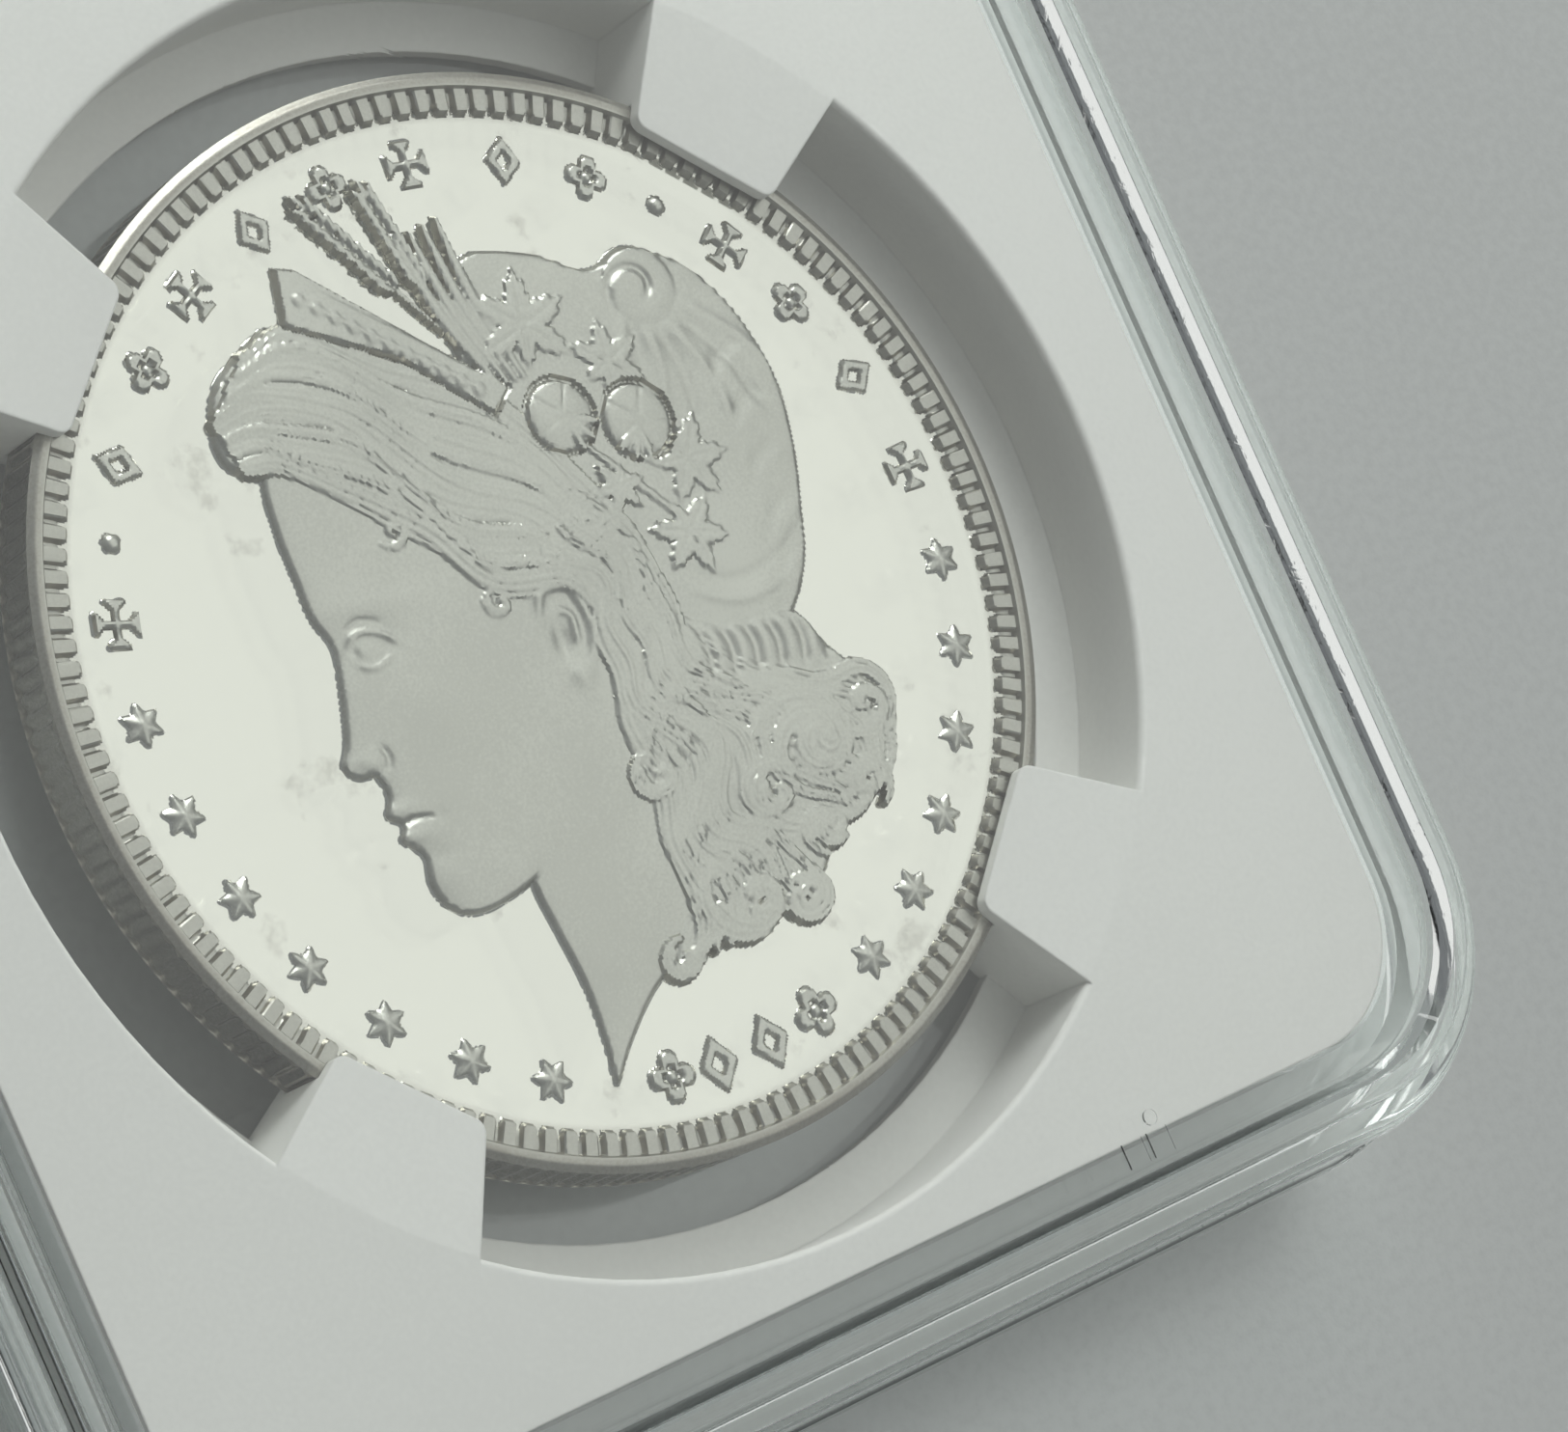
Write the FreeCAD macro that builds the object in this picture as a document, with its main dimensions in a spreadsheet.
import FreeCAD, Part
import math
import os
import Sketcher

# Coin holder: a clear two-part case, a white insert that grips a coin by its rim, the coin,
# a label card and a security foil. Millimetres.
# Frame: +Z out of the front window, +Y to the label end, +X to the right as the front is read.
# Origin: the middle of the rear rim's resting face.

doc = FreeCAD.newDocument("CoinSlab")

# name, value, what it is
SIZES = [
    ("slab_width", 61.4, "over the rear shell's flange"),
    ("slab_length", 85.6, "over the rear shell's flange"),
    ("corner_radius", 8.8, "outer corner of the flange"),
    ("rim_height", 0.85, "stacking rim above the window, front and rear"),
    ("window", 1.2, "thickness of each window"),
    ("slip", 0.05, "gap between the insert and each window"),
    ("insert_thick", 4.4, "thickness of the insert"),
    ("skirt_inset", 0.55, "front shell's skirt inside the rear shell's flange"),
    ("front_rim_outer", 1.7, "flange edge to the front rim's outer side"),
    ("front_rim_inner", 2.95, "flange edge to the front rim's inner side"),
    ("rear_rim_outer", 0.35, "flange edge to the rear rim's outer side"),
    ("rear_rim_inner", 1.55, "flange edge to the rear rim's inner side"),
    ("weld_gap", 0.05, "gap left between the shells at the parting plane"),
    ("flange_height", 0.8, "height of the flange at the parting plane"),
    ("wall_inset", 0.3, "rear wall inside the flange"),
    ("channel_outer", 1.75, "flange edge to the weld channel's outer side"),
    ("channel_inner", 2.95, "flange edge to the weld channel's inner side"),
    ("channel_roof", 0.75, "plastic left between the channel and the front face"),
    ("tongue_gap", 0.1, "clearance round the weld tongue"),
    ("side_margin", 4.4, "flange edge to the insert's long sides"),
    ("end_margin", 4.1, "flange edge to the insert's short ends"),
    ("insert_radius", 4.8, "corner of the insert"),
    ("insert_gap", 0.15, "clearance round the insert"),
    ("coin_diameter", 38.1, "coin"),
    ("coin_thickness", 2.4, "coin"),
    ("coin_to_foot", 28.2, "coin's centre above the foot of the slab"),
    ("field_depth", 0.14, "coin's fields below its rim"),
    ("field_radius", 17.95, "inner edge of the coin's rim"),
    ("edge_bevel", 0.15, "bevel of the coin's edge"),
    ("reed_depth", 0.12, "reeding of the coin's edge"),
    ("reed_width", 0.3, "reeding of the coin's edge"),
    ("reed_count", 189, "reeds round the coin's edge"),
    ("well_radius", 22.7, "round well in the front of the insert"),
    ("hole_radius", 20.85, "hole through the insert"),
    ("ledge_thick", 0.5, "ledge at the foot of the well"),
    ("prong_reach", 17.95, "coin's centre to a prong's tip"),
    ("prong_tip_half", 2.8, "half the width of a prong's tip"),
    ("prong_root_half", 3.95, "half the width of a prong's root"),
    ("prong_root", 23.3, "coin's centre to the buried end of a prong"),
    ("prong_count", 4, "prongs round the well"),
    ("prong_corner", 0.5, "rounding of a prong's tip corners"),
    ("lip_thick", 0.5, "lip over the coin's rim at the prong's tip"),
    ("seat_gap", 0.02, "clearance of the coin in the prongs"),
    ("label_width", 50.4, "label card"),
    ("label_height", 26.4, "label card"),
    ("label_thick", 0.35, "label card"),
    ("label_radius", 1.5, "corner of the label card"),
    ("label_head", 1.9, "insert's head edge to the label card"),
    ("pocket_gap", 0.15, "clearance round the label card and the foil"),
    ("pocket_depth", 0.4, "label pocket"),
    ("foil_width", 30.0, "security foil"),
    ("foil_height", 18.0, "security foil"),
    ("foil_thick", 0.1, "security foil"),
    ("foil_depth", 0.15, "foil pocket"),
    ("rib_pitch", 1.12, "slanted ribs on the end walls"),
    ("rib_count", 39, "slanted ribs on each end wall"),
    ("rib_length", 0.95, "slanted ribs"),
    ("rib_width", 0.36, "slanted ribs"),
    ("rib_proud", 0.25, "slanted ribs"),
    ("rib_slant", 28.0, "degrees"),
    ("rib_level", 1.35, "middle of the ribs above the rest plane"),
    ("mark_side", 0.9, "two square mould marks"),
    ("mark_pitch", 1.15, "two square mould marks"),
    ("mark_first", 11.5, "centreline to the first mark"),
    ("mark_margin", 3.75, "foot of the slab to the marks"),
    ("mark_proud", 0.08, "mould marks"),
    ("pip_radius", 0.28, "round mould mark"),
]

sheet = doc.addObject("Spreadsheet::Sheet", "Sizes")
for row, (alias, value, note) in enumerate(SIZES, start=1):
    sheet.set(f"A{row}", note)
    sheet.set(f"B{row}", str(value))
    sheet.setAlias(f"B{row}", alias)
doc.recompute()

# Heights above the rest plane, as expressions of the sheet.
REAR_FACE = "Sizes.rim_height"
REAR_INSIDE = "Sizes.rim_height + Sizes.window"
INSERT_REAR = f"{REAR_INSIDE} + Sizes.slip"
INSERT_FRONT = f"{INSERT_REAR} + Sizes.insert_thick"
FRONT_INSIDE = f"{INSERT_FRONT} + Sizes.slip"
FRONT_FACE = f"{FRONT_INSIDE} + Sizes.window"
MID = f"{INSERT_REAR} + Sizes.insert_thick / 2"
COIN_REAR = f"{MID} - Sizes.coin_thickness / 2"
COIN_FRONT = f"{MID} + Sizes.coin_thickness / 2"
HALF_WIDTH = "Sizes.slab_width / 2"
HALF_LENGTH = "Sizes.slab_length / 2"
COIN_Y = "Sizes.coin_to_foot - Sizes.slab_length / 2"
LABEL_TOP = "(Sizes.slab_length / 2 - Sizes.end_margin - Sizes.label_head)"
LABEL_Y = f"{LABEL_TOP} - Sizes.label_height / 2"


def number(expression):
    """The value of an expression of the sheet."""
    return float(sheet.evalExpression(expression))


def new_body(name):
    """A PartDesign body whose Label names its node."""
    body = doc.addObject("PartDesign::Body", name)
    body.Label = name
    return body


def new_sketch(body, name, height, centre_y="0", plane="XY_Plane"):
    """A sketch parallel to one of the body's origin planes, set off along its normal."""
    support = next(item for item in body.Origin.OriginFeatures if item.Role == plane)
    sketch = body.newObject("Sketcher::SketchObject", name)
    sketch.AttachmentSupport = [(support, "")]
    sketch.MapMode = "FlatFace"
    sketch.setExpression("AttachmentOffset.Base.z", height)
    sketch.setExpression("AttachmentOffset.Base.y", centre_y)
    doc.recompute()
    return sketch


def bind(sketch, kind, places, name, expression):
    """A driving dimension of a sketch that follows the sheet."""
    index = sketch.addConstraint(Sketcher.Constraint(kind, *places, number(expression)))
    sketch.renameConstraint(index, name)
    sketch.setExpression(f"Constraints.{name}", expression)


def add_circle(sketch, name, radius):
    """A circle about the sketch's origin."""
    circle = sketch.addGeometry(Part.Circle(FreeCAD.Vector(0, 0, 0), FreeCAD.Vector(0, 0, 1), number(radius)))
    sketch.addConstraint(Sketcher.Constraint("Coincident", circle, 3, -1, 1))
    bind(sketch, "Radius", (circle,), name, radius)


def add_outline(sketch, name, half_width, half_length, radius):
    """A rounded rectangle centred on the sketch's origin."""
    wide = number(half_width)
    long = number(half_length)
    bend = number(radius)
    normal = FreeCAD.Vector(0, 0, 1)
    sides = []
    corners = []
    for quarter in range(4):
        turn = math.radians(90 * quarter)
        across, along = (wide, long) if quarter % 2 == 0 else (long, wide)
        spin = FreeCAD.Rotation(normal, 90 * quarter)
        start = spin.multVec(FreeCAD.Vector(-across + bend, -along, 0))
        end = spin.multVec(FreeCAD.Vector(across - bend, -along, 0))
        middle = spin.multVec(FreeCAD.Vector(across - bend, -along + bend, 0))
        sides.append(sketch.addGeometry(Part.LineSegment(start, end)))
        circle = Part.Circle(middle, normal, bend)
        corners.append(sketch.addGeometry(Part.ArcOfCircle(circle, turn - math.pi / 2, turn)))
    for quarter in range(4):
        following = sides[(quarter + 1) % 4]
        sketch.addConstraint(Sketcher.Constraint("Tangent", sides[quarter], 2, corners[quarter], 1))
        sketch.addConstraint(Sketcher.Constraint("Tangent", corners[quarter], 2, following, 1))
        level = "Horizontal" if quarter % 2 == 0 else "Vertical"
        sketch.addConstraint(Sketcher.Constraint(level, sides[quarter]))
    for corner in corners[1:]:
        sketch.addConstraint(Sketcher.Constraint("Equal", corners[0], corner))
    bind(sketch, "Radius", (corners[0],), f"{name}_radius", radius)
    bind(sketch, "DistanceY", (sides[0], 1, -1, 1), f"{name}_low", half_length)
    bind(sketch, "DistanceX", (-1, 1, sides[1], 1), f"{name}_right", half_width)
    bind(sketch, "DistanceY", (-1, 1, sides[2], 1), f"{name}_high", half_length)
    bind(sketch, "DistanceX", (sides[3], 1, -1, 1), f"{name}_left", half_width)


def add_inset_outline(sketch, name, margin):
    """The slab's outline moved inwards by a margin."""
    add_outline(sketch, name, f"{HALF_WIDTH} - ({margin})", f"{HALF_LENGTH} - ({margin})",
                f"Sizes.corner_radius - ({margin})")


def add_polygon(sketch, name, points):
    """A closed polygon; every point is bound to the sheet as a pair of expressions."""
    spots = [FreeCAD.Vector(number(x), number(y), 0) for x, y in points]
    count = len(spots)
    lines = [sketch.addGeometry(Part.LineSegment(spots[i], spots[(i + 1) % count])) for i in range(count)]
    for i in range(count):
        sketch.addConstraint(Sketcher.Constraint("Coincident", lines[i], 2, lines[(i + 1) % count], 1))
    for i, (x, y) in enumerate(points):
        for kind, axis, expression in (("DistanceX", "x", x), ("DistanceY", "y", y)):
            bind(sketch, kind, (-1, 1, lines[i], 1), f"{name}_{axis}{i + 1}", expression)


def sweep_straight(body, kind, sketch, name, length, up):
    """A Pad or Pocket of a sketch, along +Z of the sketch when up is true."""
    before = 0.0 if body.Tip is None else body.Shape.Volume
    feature = body.newObject(f"PartDesign::{kind}", name)
    feature.Profile = sketch
    feature.setExpression("Length", length)
    feature.Reversed = up if kind == "Pocket" else not up
    doc.recompute()
    check_change(body, before, name, kind == "Pad")
    return feature


def turn_round(body, kind, sketch, name):
    """A full Revolution or Groove about the sketch's vertical axis."""
    before = 0.0 if body.Tip is None else body.Shape.Volume
    feature = body.newObject(f"PartDesign::{kind}", name)
    feature.Profile = sketch
    feature.ReferenceAxis = (sketch, ["V_Axis"])
    feature.Angle = 360
    doc.recompute()
    check_change(body, before, name, kind == "Revolution")
    return feature


def repeat(body, kind, seed, name, reference, count, **extents):
    """A polar or linear pattern of one feature; it becomes the body's tip."""
    before = body.Shape.Volume
    pattern = body.newObject(f"PartDesign::{kind}", name)
    pattern.Originals = [seed]
    if kind == "PolarPattern":
        pattern.Axis = reference
    else:
        pattern.Direction = reference
    for attribute, expression in extents.items():
        pattern.setExpression(attribute, expression)
    pattern.setExpression("Occurrences", count)
    body.Tip = pattern
    doc.recompute()
    if abs(body.Shape.Volume - before) < 1e-6:
        raise RuntimeError(f"{name} changed nothing")
    return pattern


def soften(body, kind, name, size, chosen):
    """A Fillet or Chamfer of the edges of the body's tip that pass a test."""
    base = body.Tip
    names = [f"Edge{i}" for i, edge in enumerate(base.Shape.Edges, start=1) if chosen(edge)]
    if not names:
        raise RuntimeError(f"{name} found no edges")
    feature = body.newObject(f"PartDesign::{kind}", name)
    feature.Base = (base, names)
    feature.setExpression("Radius" if kind == "Fillet" else "Size", size)
    doc.recompute()
    return feature


def check_change(body, before, name, grows):
    """Stops if a feature has not added or removed material as it should."""
    change = body.Shape.Volume - before
    if (change > 1e-6) != grows or abs(change) < 1e-6:
        raise RuntimeError(f"{name} changed the volume by {change}")


def level_edge(edge, height):
    """True for an edge that lies at one height."""
    box = edge.BoundBox
    return abs(box.ZMin - height) < 1e-4 and abs(box.ZMax - height) < 1e-4


def on_outline(edge, margin):
    """True for an edge that lies on the slab's outline moved inwards by a margin."""
    spot = edge.valueAt((edge.FirstParameter + edge.LastParameter) / 2)
    wide = number(HALF_WIDTH)
    long = number(HALF_LENGTH)
    bend = number("Sizes.corner_radius")
    past_x = max(abs(spot.x) - (wide - bend), 0.0)
    past_y = max(abs(spot.y) - (long - bend), 0.0)
    if past_x > 0 and past_y > 0:
        reach = bend - math.hypot(past_x, past_y)
    else:
        reach = min(wide - abs(spot.x), long - abs(spot.y))
    return abs(reach - margin) < 1e-3


def about_coin(edge, radius):
    """True for an edge that lies on a circle about the coin's axis."""
    spot = edge.valueAt((edge.FirstParameter + edge.LastParameter) / 2)
    return abs(math.hypot(spot.x, spot.y - number(COIN_Y)) - radius) < 1e-3


def front_shell():
    """Clear front half: window, stacking rim, skirt and the channel that takes the weld tongue."""
    body = new_body("front_shell")
    face = number(FRONT_FACE)

    skirt = new_sketch(body, "SkirtOutline", f"{MID} + Sizes.weld_gap")
    add_inset_outline(skirt, "skirt", "Sizes.skirt_inset")
    sweep_straight(body, "Pad", skirt, "Skirt", f"{FRONT_FACE} - ({MID}) - Sizes.weld_gap", True)
    soften(body, "Fillet", "SkirtRound", "Sizes.skirt_inset",
           lambda edge: level_edge(edge, face) and on_outline(edge, number("Sizes.skirt_inset")))

    rim = new_sketch(body, "RimOutline", FRONT_FACE)
    add_inset_outline(rim, "outer", "Sizes.front_rim_outer")
    add_inset_outline(rim, "inner", "Sizes.front_rim_inner")
    sweep_straight(body, "Pad", rim, "StackingRim", "Sizes.rim_height", True)
    top = face + number("Sizes.rim_height")
    soften(body, "Chamfer", "RimInnerSlope", "Sizes.rim_height * 0.6",
           lambda edge: level_edge(edge, top) and on_outline(edge, number("Sizes.front_rim_inner")))
    soften(body, "Fillet", "RimOuterRound", "Sizes.rim_height * 0.3",
           lambda edge: level_edge(edge, top) and on_outline(edge, number("Sizes.front_rim_outer")))

    cavity = new_sketch(body, "CavityOutline", MID)
    add_cavity(cavity)
    sweep_straight(body, "Pocket", cavity, "Cavity", f"{FRONT_INSIDE} - ({MID})", True)

    channel = new_sketch(body, "ChannelOutline", MID)
    add_inset_outline(channel, "outer", "Sizes.channel_outer")
    add_inset_outline(channel, "inner", "Sizes.channel_inner")
    sweep_straight(body, "Pocket", channel, "WeldChannel", f"{FRONT_FACE} - Sizes.channel_roof - ({MID})", True)

    marks = new_sketch(body, "MarkOutlines", FRONT_FACE, f"Sizes.mark_margin - {HALF_LENGTH}")
    half = "Sizes.mark_side / 2"
    for place in range(2):
        middle = f"Sizes.mark_first + {place} * Sizes.mark_pitch"
        corners = [(f"{middle} - {half}", f"-{half}"), (f"{middle} + {half}", f"-{half}"),
                   (f"{middle} + {half}", half), (f"{middle} - {half}", half)]
        add_polygon(marks, f"mark{place + 1}", corners)
    sweep_straight(body, "Pad", marks, "SquareMarks", "Sizes.mark_proud", True)
    pip = new_sketch(body, "PipOutline", FRONT_FACE,
                     f"Sizes.mark_margin + Sizes.mark_side - {HALF_LENGTH}")
    pip.setExpression("AttachmentOffset.Base.x", "Sizes.mark_first + Sizes.mark_pitch")
    add_circle(pip, "pip", "Sizes.pip_radius")
    sweep_straight(body, "Pad", pip, "RoundMark", "Sizes.mark_proud", True)
    return body


def add_cavity(sketch):
    """The space that holds the insert."""
    add_outline(sketch, "cavity", f"{HALF_WIDTH} - Sizes.side_margin + Sizes.insert_gap",
                f"{HALF_LENGTH} - Sizes.end_margin + Sizes.insert_gap", "Sizes.insert_radius + Sizes.insert_gap")


def rear_shell():
    """Clear rear half: window, flange, weld tongue, rear stacking rim and ribbed end walls."""
    body = new_body("rear_shell")
    middle = number(MID)

    wall = new_sketch(body, "WallOutline", REAR_FACE)
    add_inset_outline(wall, "wall", "Sizes.wall_inset")
    sweep_straight(body, "Pad", wall, "Wall", f"{MID} - ({REAR_FACE})", True)

    flange = new_sketch(body, "FlangeOutline", MID)
    add_inset_outline(flange, "flange", "0")
    sweep_straight(body, "Pad", flange, "Flange", "Sizes.flange_height", False)
    low = middle - number("Sizes.flange_height")
    soften(body, "Fillet", "FlangeRound", "Sizes.wall_inset * 0.9",
           lambda edge: (level_edge(edge, middle) or level_edge(edge, low)) and on_outline(edge, 0.0))

    rim = new_sketch(body, "RearRimOutline", REAR_FACE)
    add_inset_outline(rim, "outer", "Sizes.rear_rim_outer")
    add_inset_outline(rim, "inner", "Sizes.rear_rim_inner")
    sweep_straight(body, "Pad", rim, "RearRim", "Sizes.rim_height", False)
    soften(body, "Fillet", "RearRimRound", "Sizes.rim_height * 0.3",
           lambda edge: level_edge(edge, 0.0) and on_outline(edge, number("Sizes.rear_rim_outer")))
    soften(body, "Chamfer", "RearRimSlope", "Sizes.rim_height * 0.3",
           lambda edge: level_edge(edge, 0.0) and on_outline(edge, number("Sizes.rear_rim_inner")))

    cavity = new_sketch(body, "CavityOutline", MID)
    add_cavity(cavity)
    sweep_straight(body, "Pocket", cavity, "Cavity", f"{MID} - ({REAR_INSIDE})", False)

    tongue = new_sketch(body, "TongueOutline", MID)
    add_inset_outline(tongue, "outer", "Sizes.channel_outer + Sizes.tongue_gap")
    add_inset_outline(tongue, "inner", "Sizes.channel_inner - Sizes.tongue_gap")
    height = f"{FRONT_FACE} - Sizes.channel_roof - ({MID}) - Sizes.tongue_gap"
    sweep_straight(body, "Pad", tongue, "WeldTongue", height, True)

    for end, side in (("Foot", 1), ("Head", -1)):
        rib = new_sketch(body, f"{end}RibOutline", f"{side} * ({HALF_LENGTH} - Sizes.wall_inset)", "0", "XZ_Plane")
        add_rib(rib)
        seed = sweep_straight(body, "Pad", rib, f"{end}Rib", "Sizes.rib_proud", side > 0)
        repeat(body, "LinearPattern", seed, f"{end}Ribs", (rib, ["H_Axis"]), "Sizes.rib_count",
               Length="(Sizes.rib_count - 1) * Sizes.rib_pitch")
    return body


def add_rib(sketch):
    """One slanted rib, at the left end of its row."""
    half = number("Sizes.rib_length") / 2
    thick = number("Sizes.rib_width") / 2
    start = "-(Sizes.rib_count - 1) * Sizes.rib_pitch / 2"
    points = []
    for along, across in ((-half, -thick), (half, -thick), (half, thick), (-half, thick)):
        x = f"{start} + {along} * cos(Sizes.rib_slant * 1deg) - {across} * sin(Sizes.rib_slant * 1deg)"
        y = f"Sizes.rib_level + {along} * sin(Sizes.rib_slant * 1deg) + {across} * cos(Sizes.rib_slant * 1deg)"
        points.append((x, y))
    add_polygon(sketch, "rib", points)


def core():
    """White insert: stepped well, four lipped prongs, label pocket and foil pocket."""
    body = new_body("core")
    front = number(INSERT_FRONT)
    plate = new_sketch(body, "PlateOutline", INSERT_REAR)
    add_outline(plate, "plate", f"{HALF_WIDTH} - Sizes.side_margin", f"{HALF_LENGTH} - Sizes.end_margin",
                "Sizes.insert_radius")
    sweep_straight(body, "Pad", plate, "Plate", "Sizes.insert_thick", True)

    well = new_sketch(body, "WellOutline", INSERT_FRONT, COIN_Y)
    add_circle(well, "well", "Sizes.well_radius")
    sweep_straight(body, "Pocket", well, "Well", "Sizes.insert_thick - Sizes.ledge_thick", False)
    hole = new_sketch(body, "HoleOutline", INSERT_FRONT, COIN_Y)
    add_circle(hole, "hole", "Sizes.hole_radius")
    sweep_straight(body, "Pocket", hole, "Hole", "Sizes.insert_thick", False)
    soften(body, "Fillet", "WellRound", "Sizes.ledge_thick / 2",
           lambda edge: level_edge(edge, front) and about_coin(edge, number("Sizes.well_radius")))

    prong = new_sketch(body, "ProngOutline", INSERT_REAR, COIN_Y)
    add_prong(prong)
    seed = sweep_straight(body, "Pad", prong, "Prong", "Sizes.insert_thick", True)
    repeat(body, "PolarPattern", seed, "Prongs", (prong, ["N_Axis"]), "Sizes.prong_count", Angle="360")

    seat = new_sketch(body, "SeatOutline", f"{COIN_FRONT} + Sizes.seat_gap", COIN_Y)
    add_circle(seat, "seat", "Sizes.coin_diameter / 2 + Sizes.seat_gap")
    sweep_straight(body, "Pocket", seat, "CoinSeat", "Sizes.coin_thickness + 2 * Sizes.seat_gap", False)

    slope = new_sketch(body, "LipSlope", f"-({COIN_Y})", "0", "XZ_Plane")
    tip = "Sizes.prong_reach - 1"
    add_polygon(slope, "front", [("Sizes.well_radius", INSERT_FRONT),
                                 (tip, f"{COIN_FRONT} + Sizes.lip_thick - 0.1"),
                                 (tip, f"{INSERT_FRONT} + 1"),
                                 ("Sizes.well_radius", f"{INSERT_FRONT} + 1")])
    turn_round(body, "Groove", slope, "FrontLips")
    slope = new_sketch(body, "RearLipSlope", f"-({COIN_Y})", "0", "XZ_Plane")
    add_polygon(slope, "rear", [("Sizes.hole_radius", INSERT_REAR),
                                ("Sizes.hole_radius", f"{INSERT_REAR} - 1"),
                                (tip, f"{INSERT_REAR} - 1"),
                                (tip, f"{COIN_REAR} - Sizes.lip_thick + 0.1")])
    turn_round(body, "Groove", slope, "RearLips")
    soften(body, "Fillet", "ProngCorners", "Sizes.prong_corner", prong_corner)

    label = new_sketch(body, "LabelPocketOutline", INSERT_FRONT, LABEL_Y)
    add_outline(label, "label", "Sizes.label_width / 2 + Sizes.pocket_gap",
                "Sizes.label_height / 2 + Sizes.pocket_gap", "Sizes.label_radius + Sizes.pocket_gap")
    sweep_straight(body, "Pocket", label, "LabelPocket", "Sizes.pocket_depth", False)
    foil = new_sketch(body, "FoilPocketOutline", INSERT_REAR, LABEL_Y)
    add_outline(foil, "foil", "Sizes.foil_width / 2 + Sizes.pocket_gap",
                "Sizes.foil_height / 2 + Sizes.pocket_gap", "Sizes.label_radius + Sizes.pocket_gap")
    sweep_straight(body, "Pocket", foil, "FoilPocket", "Sizes.foil_depth", True)
    return body


def prong_corner(edge):
    """True for an upright edge at a corner of a prong's tip."""
    box = edge.BoundBox
    upright = box.ZLength > 0.1 and box.XLength < 1e-3 and box.YLength < 1e-3
    return upright and about_coin(edge, math.hypot(number("Sizes.prong_reach"), number("Sizes.prong_tip_half")))


def add_prong(sketch):
    """One prong in plan, pointing from the upper right diagonal to the coin's centre."""
    lean = "cos(45deg)"
    points = []
    for reach, half in (("Sizes.prong_root", "-Sizes.prong_root_half"), ("Sizes.prong_root", "Sizes.prong_root_half"),
                        ("Sizes.prong_reach", "Sizes.prong_tip_half"), ("Sizes.prong_reach", "-Sizes.prong_tip_half")):
        points.append((f"({reach} - ({half})) * {lean}", f"({reach} + ({half})) * {lean}"))
    add_polygon(sketch, "prong", points)


def coin():
    """Silver coin: raised rims, recessed fields and a reeded edge."""
    body = new_body("coin")
    section = new_sketch(body, "CoinSection", f"-({COIN_Y})", "0", "XZ_Plane")
    outer = "Sizes.coin_diameter / 2"
    bevel = "Sizes.edge_bevel"
    depth = "Sizes.field_depth"
    add_polygon(section, "coin", [
        ("0", f"{COIN_REAR} + {depth}"),
        (f"Sizes.field_radius - {depth}", f"{COIN_REAR} + {depth}"),
        ("Sizes.field_radius", COIN_REAR),
        (f"{outer} - {bevel}", COIN_REAR),
        (outer, f"{COIN_REAR} + {bevel}"),
        (outer, f"{COIN_FRONT} - {bevel}"),
        (f"{outer} - {bevel}", COIN_FRONT),
        ("Sizes.field_radius", COIN_FRONT),
        (f"Sizes.field_radius - {depth}", f"{COIN_FRONT} - {depth}"),
        ("0", f"{COIN_FRONT} - {depth}"),
    ])
    turn_round(body, "Revolution", section, "Blank")

    reed = new_sketch(body, "ReedOutline", COIN_FRONT, COIN_Y)
    half = "Sizes.reed_width / 2"
    beyond = f"{outer} + Sizes.reed_depth"
    add_polygon(reed, "reed", [(f"{outer} - Sizes.reed_depth", f"-{half} / 2"), (beyond, f"-{half} * 1.5"),
                               (beyond, f"{half} * 1.5"), (f"{outer} - Sizes.reed_depth", f"{half} / 2")])
    seed = sweep_straight(body, "Pocket", reed, "Reed", "Sizes.coin_thickness", False)
    repeat(body, "PolarPattern", seed, "Reeds", (reed, ["N_Axis"]), "Sizes.reed_count", Angle="360")
    return body


def label_card():
    """Paper label in the pocket at the head of the insert."""
    body = new_body("label_card")
    outline = new_sketch(body, "CardOutline", f"{INSERT_FRONT} - Sizes.pocket_depth", LABEL_Y)
    add_outline(outline, "card", "Sizes.label_width / 2", "Sizes.label_height / 2", "Sizes.label_radius")
    sweep_straight(body, "Pad", outline, "Card", "Sizes.label_thick", True)
    return body


def hologram_foil():
    """Security foil in the shallow pocket behind the label."""
    body = new_body("hologram_foil")
    outline = new_sketch(body, "FoilOutline", f"{INSERT_REAR} + Sizes.foil_depth", LABEL_Y)
    add_outline(outline, "foil", "Sizes.foil_width / 2", "Sizes.foil_height / 2", "Sizes.label_radius")
    sweep_straight(body, "Pad", outline, "Foil", "Sizes.foil_thick", False)
    return body


bodies = [make() for make in (front_shell, rear_shell, core, coin, label_card, hologram_foil)]
doc.recompute()

for item in doc.Objects:
    if "Invalid" in item.State or "Error" in item.State:
        raise RuntimeError(f"{item.Name} failed: {item.State}")
os.makedirs("parts", exist_ok=True)
for body in bodies:
    shape = body.Shape
    if shape.isNull() or not shape.isValid():
        raise RuntimeError(f"{body.Label} has no valid shape")
    box = shape.BoundBox
    print(f"{body.Label}: volume {shape.Volume:.1f}, solids {len(shape.Solids)}, "
          f"x {box.XMin:.2f}..{box.XMax:.2f}, y {box.YMin:.2f}..{box.YMax:.2f}, z {box.ZMin:.2f}..{box.ZMax:.2f}")
    shape.exportStep(f"parts/{body.Label}.step")
